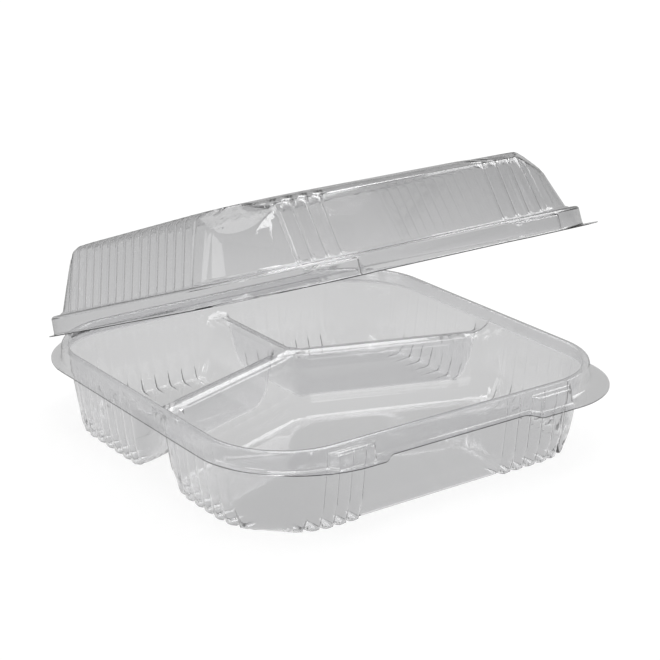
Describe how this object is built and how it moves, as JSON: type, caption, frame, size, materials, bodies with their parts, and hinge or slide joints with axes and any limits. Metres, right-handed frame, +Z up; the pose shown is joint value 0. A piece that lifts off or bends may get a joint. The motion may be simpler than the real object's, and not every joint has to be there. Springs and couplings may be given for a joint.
{
  "type": "clear hinged container",
  "caption": "Clear hinged food container: a square tray with a Y-shaped hollow divider and fluted walls, and a domed lid on a living hinge.",
  "frame": {"origin": "middle of the tray's width and depth at the underside of its floors", "axes": "+X to the right along the front wall, +Y from the front wall to the hinge, +Z up"},
  "size_m": [0.233, 0.2443, 0.1553],
  "materials": {
    "clear_sheet": "clear glossy thermoformed sheet"
  },
  "bodies": {
    "base": {"base_tray": "clear_sheet"},
    "cover": {"lid": "clear_sheet"}
  },
  "joints": [
    {"name": "lid_hinge", "type": "hinge", "parent": "base", "child": "cover", "pos_m": [0, 0.121, 0.0365], "axis": [-1, 0, 0], "range_deg": [-21, 139]}
  ]
}
